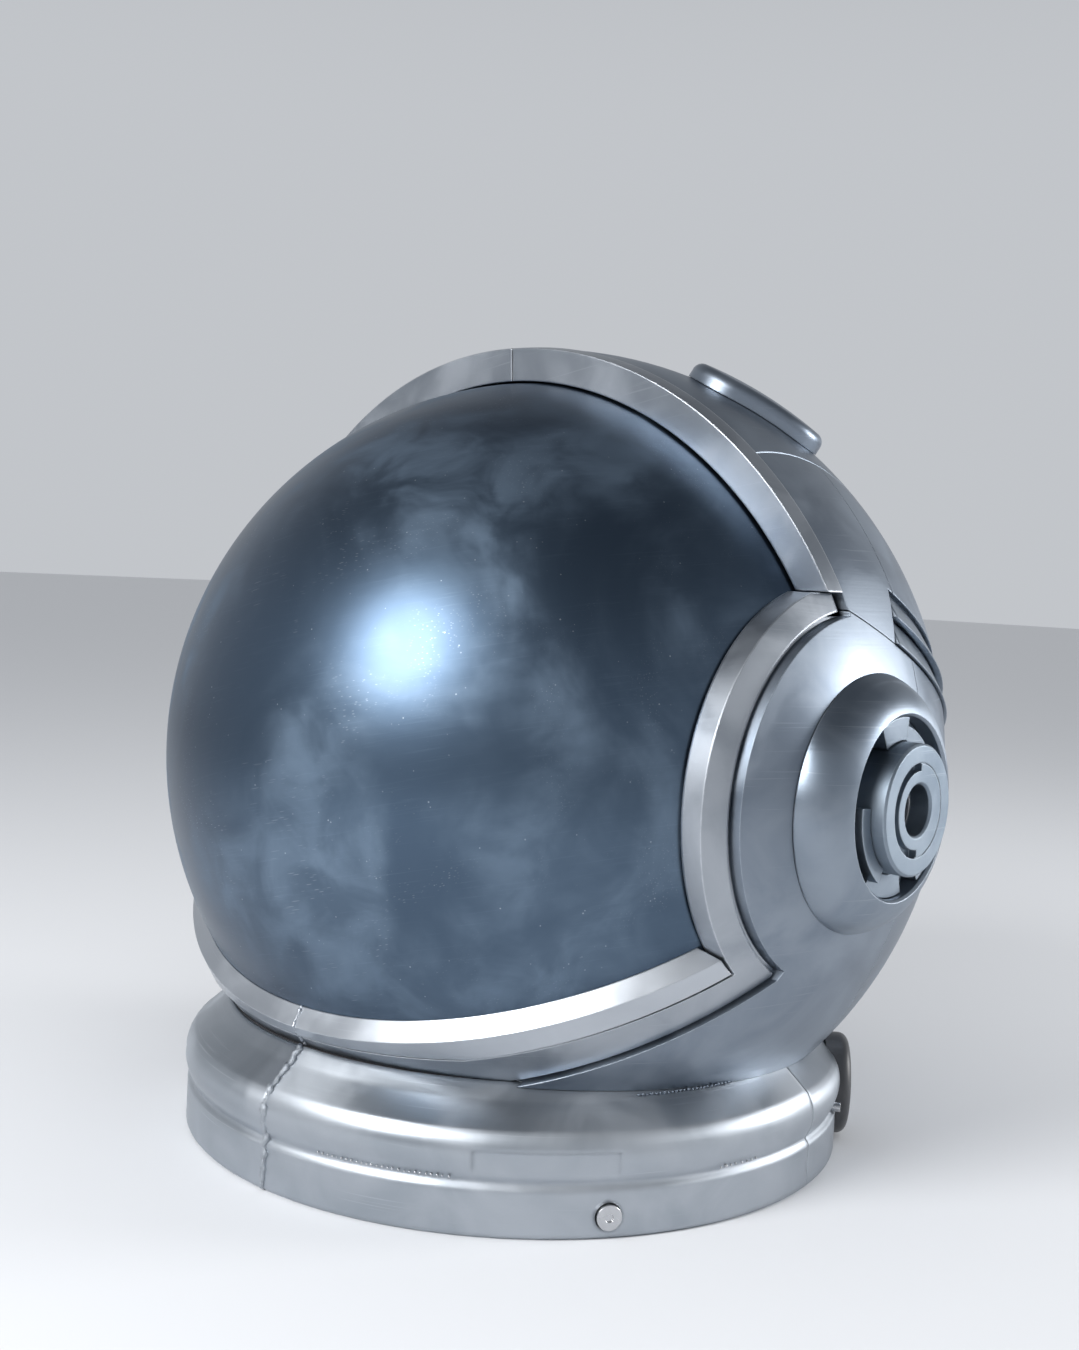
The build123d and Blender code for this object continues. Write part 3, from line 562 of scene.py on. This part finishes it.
class FinishShelf:
    """Every finish of the helmet, by the record's material slot."""

    def __init__(self) -> None:
        """Builds the shared effects and all the materials."""
        effects = SharedEffects()
        silver, silver_pale = (0.30, 0.33, 0.37), (0.66, 0.69, 0.73)
        finishes = [
            MetalFinish("shell_silver", (0.190, 0.226, 0.276), (0.46, 0.51, 0.57), roughness=0.40),
            MetalFinish("louvre_silver", (0.225, 0.265, 0.315), (0.52, 0.57, 0.63), roughness=0.42),
            # The trim's stronger pale edges are mostly a painted edge highlight along the chin frame's
            # bevels.
            MetalFinish("trim_silver", silver, silver_pale, roughness=0.36, edge_radius=0.9 * MM,
                        edge_strength=9.0, tilt_deg=(6.0, 10.0, 0.0)),
            MetalFinish("lip_silver", (0.46, 0.49, 0.53), silver_pale, roughness=0.34,
                        lines_per_metre=1500.0, tilt_deg=(-31.4, 0.0, 0.0)),
            MetalFinish("ring_metal", (0.36, 0.395, 0.435), silver_pale, roughness=0.38,
                        anisotropic=0.55, edge_radius=2.6 * MM, edge_strength=1.0),
            MetalFinish("collar_metal", (0.30, 0.32, 0.34), silver_pale, roughness=0.42),
            MetalFinish("dish_silver", (0.200, 0.240, 0.292), (0.50, 0.55, 0.61), roughness=0.38,
                        anisotropic=0.45),
            MetalFinish("ear_collar_grey", (0.175, 0.212, 0.258), (0.48, 0.535, 0.59), roughness=0.42),
            MetalFinish("knob_grey", (0.185, 0.230, 0.282), (0.48, 0.54, 0.60), roughness=0.46,
                        grain_depth=0.02 * MM),
            MetalFinish("screw_steel", (0.50, 0.51, 0.53), (0.82, 0.82, 0.83), roughness=0.26,
                        line_depth=0.004 * MM),
            MetalFinish("post_metal", (0.36, 0.37, 0.39), (0.70, 0.71, 0.73), roughness=0.34),
            MetalFinish("lock_cap_metal", (0.38, 0.39, 0.41), (0.74, 0.75, 0.77), roughness=0.32),
            PlainFinish("gasket_rubber", (0.022, 0.022, 0.024), (0.06, 0.06, 0.065), roughness=0.75),
            PlainFinish("washer_nylon", (0.70, 0.70, 0.68), (0.82, 0.82, 0.80), roughness=0.50),
            PlainFinish("hub_plastic", (0.13, 0.135, 0.145), (0.26, 0.27, 0.29), roughness=0.48),
            PlainFinish("ring_lock_dark", (0.030, 0.031, 0.035), (0.13, 0.135, 0.145), roughness=0.38),
            PlainFinish("liner_black", (0.030, 0.030, 0.033), (0.075, 0.075, 0.08), roughness=0.52),
            PlainFinish("bracket_black", (0.035, 0.035, 0.038), (0.09, 0.09, 0.095), roughness=0.48),
            PlainFinish("cushion_fabric", (0.055, 0.057, 0.064), (0.12, 0.122, 0.13), roughness=0.90),
            VisorFinish(),
        ]
        self.materials = {finish.name: finish.build(effects) for finish in finishes}

    def dress(self, piece: bpy.types.Object, slot: str) -> None:
        """Puts one finish on a whole new piece.

        Args:
            piece: the object to dress.
            slot: the record's material slot.
        """
        piece.data.materials.clear()
        piece.data.materials.append(self.materials[slot])

    def dress_node(self, node: str, slot: str) -> None:
        """Puts one finish on a CAD node that stays as it is.

        Args:
            node: the CAD node's name.
            slot: the record's material slot.
        """
        for holder in frame["nodes"][node].material_slots:
            holder.material = self.materials[slot]


def settle(name: str, mesh: bpy.types.Mesh, body: Body, *nodes: str) -> bpy.types.Object:
    """Makes an object of a finished mesh and hangs it on its body.

    Args:
        name: the piece's name.
        mesh: its mesh, in the helmet's frame.
        body: the body that it rides on.
        nodes: the CAD nodes that it stands for.

    Returns:
        The object.
    """
    piece = bpy.data.objects.new(name, mesh)
    bpy.context.scene.collection.objects.link(piece)
    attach(piece, body.value)
    if nodes:
        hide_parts(*nodes)
    LOG.info("built %s on %s", name, body.value)
    return piece


def mesh_of(bm: bmesh.types.BMesh, name: str, smooth: bool = True) -> bpy.types.Mesh:
    """Turns a bmesh into a mesh and frees it.

    Args:
        bm: the bmesh.
        name: the mesh's name.
        smooth: whether its faces are shaded smooth.

    Returns:
        The mesh.
    """
    for face in bm.faces:
        face.smooth = smooth
    mesh = bpy.data.meshes.new(name)
    bm.to_mesh(mesh)
    bm.free()
    return mesh


@dataclass
class VisorBubble:
    """The mirrored sphere, cut below the lip and behind the ears, with a round ear at each pivot."""

    centre: Vector = field(default_factory=lambda: Vector((0.0, 7.0, 152.4)) * MM)
    pivot: Vector = field(default_factory=lambda: Vector((0.0, 3.0, 152.0)) * MM)
    radius: float = 154.0 * MM
    wall: float = 3.0 * MM
    lip_tilt: float = math.radians(31.4)
    cut_drop: float = 23.0 * MM
    back_cut: float = 16.0 * MM
    back_lean: float = math.radians(5.0)
    ear_radius: float = 32.0 * MM
    post_hole: float = 13.3 * MM
    segments: int = 224
    rings: int = 144

    def build(self, shelf: FinishShelf) -> None:
        """Builds the bubble in place of its CAD node.

        Args:
            shelf: the finishes.
        """
        bm = bmesh.new()
        bmesh.ops.create_uvsphere(bm, u_segments=self.segments, v_segments=self.rings, radius=self.radius)
        poles_to_ears = Matrix.Rotation(math.pi / 2, 3, "Y")
        bmesh.ops.rotate(bm, cent=(0, 0, 0), matrix=poles_to_ears, verts=bm.verts)
        bmesh.ops.translate(bm, vec=self.centre, verts=bm.verts)
        down = Vector((0.0, math.sin(self.lip_tilt), -math.cos(self.lip_tilt)))
        back = Vector((0.0, math.cos(self.back_lean), math.sin(self.back_lean)))
        cuts = [
            (self.centre + down * self.cut_drop, down),
            (Vector((0.0, self.back_cut, self.pivot.z)), back),
        ]
        for place, normal in cuts:
            geometry = [*bm.verts, *bm.edges, *bm.faces]
            bmesh.ops.bisect_plane(bm, geom=geometry, plane_co=place, plane_no=normal)
        waste = [face for face in bm.faces if self._is_waste(face.calc_center_median(), cuts)]
        bmesh.ops.delete(bm, geom=waste, context="FACES")
        mesh = mesh_of(bm, "visor_bubble_glass")
        piece = settle("visor_bubble_glass", mesh, Body.VISOR, "visor_bubble")
        wall = piece.modifiers.new("wall", "SOLIDIFY")
        wall.thickness = self.wall
        wall.offset = -1.0
        wall.use_even_offset = True
        shelf.dress(piece, "visor_mirror")

    def _is_waste(self, place: Vector, cuts: list[tuple[Vector, Vector]]) -> bool:
        """Says whether a face lies past a cut or in the post's hole.

        Args:
            place: the face's middle.
            cuts: each cut's place and its normal.

        Returns:
            True where the face goes.
        """
        off_axis = (place - self.pivot).yz.length
        if off_axis < self.post_hole:
            return True
        past_cut = any((place - foot).dot(normal) > 0.0 for foot, normal in cuts)
        return past_cut and off_axis > self.ear_radius


@dataclass
class CrownTail:
    """The crown panel's low back edge, which closes the slit above the nape seam."""

    centre: Vector = field(default_factory=lambda: Vector((0.0, 8.2, 154.6)) * MM)
    radius: float = 165.4 * MM
    wall: float = 4.0 * MM
    top: Vector = field(default_factory=lambda: Vector((0.0, 0.0, 152.0)) * MM)
    seam_place: Vector = field(default_factory=lambda: Vector((0.0, -9.1, 221.75)) * MM)
    seam_lean: float = math.radians(23.4)
    segments: int = 256

    def build(self, shelf: FinishShelf) -> None:
        """Builds the strip between the crown panel and the nape seam.

        Args:
            shelf: the finishes.
        """
        bm = bmesh.new()
        bmesh.ops.create_uvsphere(bm, u_segments=self.segments, v_segments=self.segments, radius=self.radius)
        bmesh.ops.translate(bm, vec=self.centre, verts=bm.verts)
        below_seam = Vector((0.0, -math.sin(self.seam_lean), -math.cos(self.seam_lean)))
        for place, normal in ((self.top, Vector((0.0, 0.0, 1.0))), (self.seam_place, below_seam)):
            geometry = [*bm.verts, *bm.edges, *bm.faces]
            bmesh.ops.bisect_plane(bm, geom=geometry, plane_co=place, plane_no=normal, clear_outer=True)
        piece = settle("crown_tail", mesh_of(bm, "crown_tail"), Body.SHELL)
        wall = piece.modifiers.new("wall", "SOLIDIFY")
        wall.thickness = self.wall
        wall.offset = -1.0
        shelf.dress(piece, "shell_silver")


@dataclass
class Cushions:
    """The liner's cushions: each CAD block is blown up like a sewn pad, inside the block's own space."""

    centre: Vector = field(default_factory=lambda: Vector((0.0, 3.0, 152.0)) * MM)
    outer_radius: float = 139.4 * MM
    inner_radius: float = 117.0 * MM
    voxel: float = 5.0 * MM
    shrink: float = 2.4 * MM
    cap: float = 6.0 * MM
    pressure: float = 4.0
    frames: int = 20
    smooth_passes: int = 3
    channel_depth: float = 3.2 * MM
    channel_width: float = 4.0 * MM

    def build(self, shelf: FinishShelf) -> None:
        """Builds the four cushions.

        Args:
            shelf: the finishes.
        """
        for node in ("crown_cushion", "nape_cushion", "side_cushion_left", "side_cushion_right"):
            piece = settle(node + "_pad", self._remeshed(node), Body.SHELL, node)
            self._inflate(piece)
            self._sew(piece.data, sideways=node.startswith("side"))
            piece.modifiers.new("soften", "SUBSURF").levels = 1
            piece.modifiers["soften"].render_levels = 1
            shelf.dress(piece, "cushion_fabric")

    def _remeshed(self, node: str) -> bpy.types.Mesh:
        """Copies a CAD block's mesh as even voxels and draws it in a little.

        Args:
            node: the CAD node.

        Returns:
            The new mesh.
        """
        holder = bpy.data.objects.new(node + "_blank", frame["nodes"][node].data.copy())
        bpy.context.scene.collection.objects.link(holder)
        bm = bmesh.new()
        bm.from_mesh(holder.data)
        bmesh.ops.remove_doubles(bm, verts=bm.verts, dist=MERGE_DISTANCE)
        bm.to_mesh(holder.data)
        bm.free()
        remesh = holder.modifiers.new("voxels", "REMESH")
        remesh.mode = "VOXEL"
        remesh.voxel_size = self.voxel
        mesh = self._evaluated(holder, node + "_pad")
        bpy.data.objects.remove(holder)
        bm = bmesh.new()
        bm.from_mesh(mesh)
        for _ in range(self.smooth_passes):
            bmesh.ops.smooth_vert(
                bm, verts=bm.verts, factor=0.5, use_axis_x=True, use_axis_y=True, use_axis_z=True
            )
        bm.normal_update()
        for vert in bm.verts:
            vert.co -= vert.normal * self.shrink
        for face in bm.faces:
            face.smooth = True
        bm.to_mesh(mesh)
        bm.free()
        return mesh

    @staticmethod
    def _evaluated(piece: bpy.types.Object, name: str) -> bpy.types.Mesh:
        """Takes a piece's mesh with its modifiers applied.

        Args:
            piece: the object.
            name: the new mesh's name.

        Returns:
            The mesh.
        """
        graph = bpy.context.evaluated_depsgraph_get()
        mesh = bpy.data.meshes.new_from_object(piece.evaluated_get(graph))
        mesh.name = name
        return mesh

    def _inflate(self, piece: bpy.types.Object) -> None:
        """Blows the pad up with a short cloth run, then caps how far its points moved.

        Args:
            piece: the pad.
        """
        before = [vert.co.copy() for vert in piece.data.vertices]
        cloth = piece.modifiers.new("air", "CLOTH")
        cloth.settings.use_pressure = True
        cloth.settings.uniform_pressure_force = self.pressure
        cloth.settings.effector_weights.gravity = 0.0
        cloth.point_cache.frame_start = 1
        cloth.point_cache.frame_end = self.frames
        for number in range(1, self.frames + 1):
            bpy.context.scene.frame_set(number)
        blown = self._evaluated(piece, piece.data.name)
        piece.modifiers.remove(cloth)
        bpy.context.scene.frame_set(1)
        for vert, start in zip(blown.vertices, before):
            move = vert.co - start
            if move.length > self.cap:
                move *= self.cap / move.length
            vert.co = self._inside(start + move)
        piece.data = blown

    def _inside(self, place: Vector) -> Vector:
        """Keeps a point inside the block's space, clear of the liner.

        Args:
            place: the point.

        Returns:
            The point, drawn to the space's limits.
        """
        arm = place - self.centre
        reach = min(max(arm.length, self.inner_radius), self.outer_radius)
        return self.centre + arm.normalized() * reach

    def _sew(self, mesh: bpy.types.Mesh, sideways: bool) -> None:
        """Presses a sewn channel across the pad's inner face.

        Args:
            mesh: the pad's mesh.
            sideways: whether the channel runs along the helmet instead of across it.
        """
        middle = sum((vert.co for vert in mesh.vertices), Vector()) / len(mesh.vertices)
        for vert in mesh.vertices:
            arm = vert.co - self.centre
            off = vert.co.z - middle.z if sideways else vert.co.x - middle.x
            depth = self.channel_depth * math.exp(-((off / self.channel_width) ** 2))
            if arm.length < (self.inner_radius + self.outer_radius) / 2:
                vert.co += arm.normalized() * depth


@dataclass
class SeamBeads:
    """The rough beads that the print left along its joints."""

    WOBBLE_SEED = 7
    WOBBLE_PER_METRE = 900.0
    SIZE_WOBBLE = 0.65
    DEPTH_WOBBLE = 0.3

    dome_radius: float = 165.4 * MM
    dome_centre: Vector = field(default_factory=lambda: Vector((0.0, 8.2, 154.6)) * MM)
    bubble_centre: Vector = field(default_factory=lambda: Vector((0.0, 7.0, 152.4)) * MM)
    lip_tilt: float = math.radians(31.4)
    weld_step: float = 0.75 * MM
    ring_bead: float = 1.25 * MM
    chin_bead: float = 0.90 * MM
    chin_sink: float = 2.4 * MM
    lip_bead: float = 0.70 * MM
    groove_height: float = 20.6 * MM
    groove_radius: float = 134.55 * MM
    groove_bead: float = 0.55 * MM
    front_groove_deg: tuple[float, float, float] = (11.0, 33.0, 0.85)
    side_groove_deg: tuple[float, float, float] = (75.0, 83.0, 1.10)
    joint_height: float = 46.5 * MM
    joint_bead: float = 0.55 * MM
    joint_deg: tuple[float, float, float] = (62.0, 94.0, 0.80)
    joint_middle_deg: float = 78.0

    def build(self, shelf: FinishShelf) -> None:
        """Builds the ring's weld, the chin's and the lip's welds, and the dotted joints.

        Args:
            shelf: the finishes.
        """
        noise.seed_set(self.WOBBLE_SEED)
        groove = self._arc(*self.front_groove_deg, self.groove_radius, self.groove_height)
        groove += self._arc(*self.side_groove_deg, self.groove_radius, self.groove_height)
        joint = self._arc(*self.joint_deg, self._joint_radius(self.joint_middle_deg), self.joint_height)
        ring, chin, lip = (
            self._profile(points, self.weld_step)
            for points in (self._ring_points(), self._chin_points(), self._lip_points())
        )
        rows = [
            ("ring_weld_beads", ring, self.ring_bead, Body.SHELL, "ring_metal"),
            ("chin_weld_beads", chin, self.chin_bead, Body.SHELL, "trim_silver"),
            ("lip_weld_beads", lip, self.lip_bead, Body.VISOR, "lip_silver"),
            ("groove_beads", groove, self.groove_bead, Body.SHELL, "screw_steel"),
            ("neck_joint_beads", joint, self.joint_bead, Body.SHELL, "shell_silver"),
        ]
        for name, places, radius, body, slot in rows:
            shelf.dress(settle(name, self._row(name, places, radius), body), slot)

    @staticmethod
    def _ring_points() -> list[Vector]:
        """The neck ring's front line in the middle plane, from the foot to the top.

        Returns:
            Its corner points.
        """
        line = [(134.9, 1.6), (135.1, 16.8), (133.6, 19.2), (134.7, 21.6), (135.9, 31.0), (133.1, 37.2),
                (124.3, 44.9), (119.8, 49.9)]
        return [Vector((0.0, -reach * MM, height * MM)) for reach, height in line]

    def _chin_points(self) -> list[Vector]:
        """The chin frame's front line in the middle plane.

        Returns:
            Its corner points.
        """
        radius = self.dome_radius - self.chin_sink
        heights = (50.4 * MM, 53.0 * MM, 55.4 * MM)
        rise = [height - self.dome_centre.z for height in heights]
        reach = [self.dome_centre.y - math.sqrt(radius**2 - up**2) for up in rise]
        return [Vector((0.0, y, z)) for y, z in zip(reach, heights)]

    def _lip_points(self) -> list[Vector]:
        """The lip's sloped face in the middle plane, from the bubble to the edge.

        Returns:
            Its two end points.
        """
        down = Vector((0.0, math.sin(self.lip_tilt), -math.cos(self.lip_tilt)))
        out = Vector((0.0, -math.cos(self.lip_tilt), -math.sin(self.lip_tilt)))
        ends = ((8.2, 154.2), (12.3, 160.3))
        return [self.bubble_centre + down * (drop * MM) + out * (reach * MM) for drop, reach in ends]

    @staticmethod
    def _profile(points: list[Vector], step: float) -> list[Vector]:
        """Places along a line of corner points, an even step apart.

        Args:
            points: the corner points.
            step: the distance between places.

        Returns:
            The places.
        """
        places = []
        for start, end in zip(points, points[1:]):
            count = max(1, round((end - start).length / step))
            places += [start.lerp(end, index / count) for index in range(count)]
        return places + [points[-1]]

    @staticmethod
    def _arc(
        start_deg: float, end_deg: float, step_deg: float, radius: float, height: float
    ) -> list[Vector]:
        """Places along the ring, counted from the front to the wearer's left.

        Args:
            start_deg: the first angle.
            end_deg: the last angle.
            step_deg: the angle between places.
            radius: their distance from the ring's axis.
            height: their height.

        Returns:
            The places.
        """
        count = int((end_deg - start_deg) / step_deg)
        angles = [math.radians(start_deg + index * step_deg) for index in range(count + 1)]
        return [Vector((radius * math.sin(a), -radius * math.cos(a), height)) for a in angles]

    def _joint_radius(self, angle_deg: float) -> float:
        """How far from the ring's axis the dome meets the ring.

        Args:
            angle_deg: where, from the front to the wearer's left.

        Returns:
            The distance.
        """
        level = math.sqrt(self.dome_radius**2 - (self.joint_height - self.dome_centre.z) ** 2)
        return level - self.dome_centre.y * math.cos(math.radians(angle_deg))

    def _row(self, name: str, places: list[Vector], radius: float) -> bpy.types.Mesh:
        """Sets one uneven bead at each place.

        Args:
            name: the mesh's name.
            places: where the beads sit.
            radius: a bead's mean radius.

        Returns:
            The mesh.
        """
        bm = bmesh.new()
        for place in places:
            wobble = noise.noise_vector(place * self.WOBBLE_PER_METRE)
            size = radius * (1.0 + self.SIZE_WOBBLE * wobble.z)
            aside = Vector((wobble.x, wobble.y * self.DEPTH_WOBBLE, wobble.z * self.DEPTH_WOBBLE))
            spot = Matrix.Translation(place + aside * radius)
            bmesh.ops.create_icosphere(bm, subdivisions=1, radius=size, matrix=spot)
        return mesh_of(bm, name)


@dataclass
class RoundedCopies:
    """CAD nodes whose hard edges get a soft round."""

    widths: dict[str, float] = field(default_factory=lambda: {
        "rear_louvres_left": 1.5 * MM,
        "rear_louvres_right": 1.5 * MM,
    })
    flat: float = math.radians(0.5)
    sharp: float = math.radians(35.0)
    segments: int = 3

    def build(self, shelf: FinishShelf) -> None:
        """Builds a rounded copy in place of each node.

        Args:
            shelf: the finishes.
        """
        slots = {row["node"]: row["material_slot"] for row in frame["record"]["subparts"]}
        for node, width in self.widths.items():
            bm = bmesh.new()
            bm.from_mesh(frame["nodes"][node].data)
            bmesh.ops.remove_doubles(bm, verts=bm.verts, dist=MERGE_DISTANCE)
            bmesh.ops.dissolve_limit(bm, angle_limit=self.flat, verts=bm.verts, edges=bm.edges)
            edges = [edge for edge in bm.edges if edge.is_manifold and edge.calc_face_angle() > self.sharp]
            bmesh.ops.bevel(bm, geom=edges, offset=width, offset_type="OFFSET", affect="EDGES",
                            segments=self.segments, profile=0.5, material=-1, clamp_overlap=True)
            piece = settle(node + "_rounded", mesh_of(bm, node + "_rounded"), Body.SHELL, node)
            shelf.dress(piece, slots[node])


class FrameDress:
    """The CAD nodes that keep their own shape and get a finish."""

    def build(self, shelf: FinishShelf) -> None:
        """Dresses every CAD node with its record slot's finish.

        Args:
            shelf: the finishes.
        """
        for row in frame["record"]["subparts"]:
            shelf.dress_node(row["node"], row["material_slot"])
            LOG.info("dressed %s with %s", row["node"], row["material_slot"])


@dataclass(frozen=True)
class Lamp:
    """One soft round lamp that faces the helmet.

    Its azimuth counts on the ground plane from the front to the wearer's left, its reach is the
    distance from the helmet's middle, its size is its width in metres and its power is in watts.
    """

    name: str
    azimuth_deg: float
    height_deg: float
    reach: float
    size: float
    power: float
    mirrored: bool = True

    def build(self, target: Vector) -> None:
        """Hangs the lamp.

        Args:
            target: the helmet's middle.
        """
        azimuth, height = math.radians(self.azimuth_deg), math.radians(self.height_deg)
        way = Vector((
            math.sin(azimuth) * math.cos(height),
            -math.cos(azimuth) * math.cos(height),
            math.sin(height),
        ))
        light = bpy.data.lights.new(self.name, "AREA")
        light.shape = "DISK"
        light.size = self.size
        light.energy = self.power
        lamp = bpy.data.objects.new(self.name, light)
        lamp.location = target + way * self.reach
        lamp.rotation_euler = way.to_track_quat("Z", "Y").to_euler()
        lamp.visible_glossy = self.mirrored
        bpy.context.scene.collection.objects.link(lamp)


@dataclass
class Studio:
    """The floor, the backdrop, the lamps and the camera."""

    target: Vector = field(default_factory=lambda: Vector((0.91, 2.97, 185.49)) * MM)
    distance: float = 675.0 * MM
    azimuth: float = math.radians(40.658)
    elevation: float = math.radians(3.495)
    roll: float = math.radians(2.9556)
    lens: float = 42.92
    sensor_width: float = 36.0
    floor_half: float = 14.0
    floor_roughness: float = 0.9
    paper: Colour = (0.74, 0.75, 0.77)
    horizon: Colour = (0.54, 0.56, 0.59)
    ceiling: Colour = (0.16, 0.17, 0.185)
    ceiling_range: tuple[float, float] = (0.25, 0.85)
    sky_light: Colour = (0.74, 0.76, 0.79)
    sky_strength: float = 0.74
    lamps: tuple[Lamp, ...] = (
        Lamp("key_lamp", azimuth_deg=-3.0, height_deg=28.5, reach=1.3, size=0.64, power=15.0),
        Lamp("rim_lamp", azimuth_deg=136.0, height_deg=10.0, reach=1.4, size=0.48, power=9.0),
        Lamp("fill_lamp", azimuth_deg=60.0, height_deg=60.0, reach=2.4, size=1.4, power=6.0, mirrored=False),
    )

    def build(self) -> None:
        """Builds the whole studio."""
        self._floor()
        self._world()
        self._lamps()
        self._camera()

    def _floor(self) -> None:
        """A plain pale floor at the ring's foot."""
        bm = bmesh.new()
        bmesh.ops.create_grid(bm, x_segments=1, y_segments=1, size=self.floor_half)
        floor = bpy.data.objects.new("studio_floor", mesh_of(bm, "studio_floor", smooth=False))
        bpy.context.scene.collection.objects.link(floor)
        material = bpy.data.materials.new("studio_paper")
        material.use_nodes = True
        shader = material.node_tree.nodes["Principled BSDF"]
        shader.inputs["Base Color"].default_value = (*self.paper, 1.0)
        shader.inputs["Roughness"].default_value = self.floor_roughness
        floor.data.materials.append(material)

    def _world(self) -> None:
        """Pale paper near the horizon and a darker ceiling, both seen by the camera and in the metal."""
        world = bpy.data.worlds.new("studio_world")
        bpy.context.scene.world = world
        world.use_nodes = True
        w = Wiring(world.node_tree)
        direction = w.add("TexCoord").outputs["Generated"]
        split = w.add("SeparateXYZ")
        w.feed(split.inputs[0], direction)
        height = w.spread(split.outputs["Z"], *self.ceiling_range)
        seen = w.mix(height, self.horizon, self.ceiling)
        lit = w.add("Background")
        w.fill(lit, Color=(*self.sky_light, 1.0), Strength=self.sky_strength)
        shown = w.add("Background")
        w.fill(shown, Color=seen, Strength=1.0)
        path = w.add("LightPath")
        direct = w.math("MAXIMUM", path.outputs["Is Camera Ray"], path.outputs["Is Glossy Ray"])
        direct = w.math("MAXIMUM", direct, path.outputs["Is Transmission Ray"])
        choice = w.add("MixShader")
        w.feed(choice.inputs[0], direct)
        w.feed(choice.inputs[1], lit.outputs[0])
        w.feed(choice.inputs[2], shown.outputs[0])
        w.feed(w.add("OutputWorld").inputs["Surface"], choice.outputs[0])

    def _lamps(self) -> None:
        """A key lamp before the face, one behind the left ear, and a fill that isn't mirrored."""
        for lamp in self.lamps:
            lamp.build(self.target)

    def _camera(self) -> None:
        """The camera, at the place and angle that match the photographed outline."""
        back = Vector((
            math.sin(self.azimuth) * math.cos(self.elevation),
            -math.cos(self.azimuth) * math.cos(self.elevation),
            math.sin(self.elevation),
        ))
        level = Vector((math.cos(self.azimuth), math.sin(self.azimuth), 0.0))
        upright = back.cross(level)
        right = level * math.cos(self.roll) + upright * math.sin(self.roll)
        top = upright * math.cos(self.roll) - level * math.sin(self.roll)
        data = bpy.data.cameras.new("camera")
        data.lens = self.lens
        data.sensor_width = self.sensor_width
        camera = bpy.data.objects.new("camera", data)
        turn = Matrix((right, top, back)).transposed().to_4x4()
        camera.matrix_world = Matrix.Translation(self.target + back * self.distance) @ turn
        bpy.context.scene.collection.objects.link(camera)
        bpy.context.scene.camera = camera


def main() -> None:
    """Builds the helmet's looks round the frame, in order."""
    logging.basicConfig(level=logging.INFO, format="%(message)s")
    bpy.context.scene.view_settings.view_transform = "Standard"
    shelf = FinishShelf()
    FrameDress().build(shelf)
    VisorBubble().build(shelf)
    CrownTail().build(shelf)
    Cushions().build(shelf)
    SeamBeads().build(shelf)
    RoundedCopies().build(shelf)
    Studio().build()


if __name__ == "__main__":
    main()
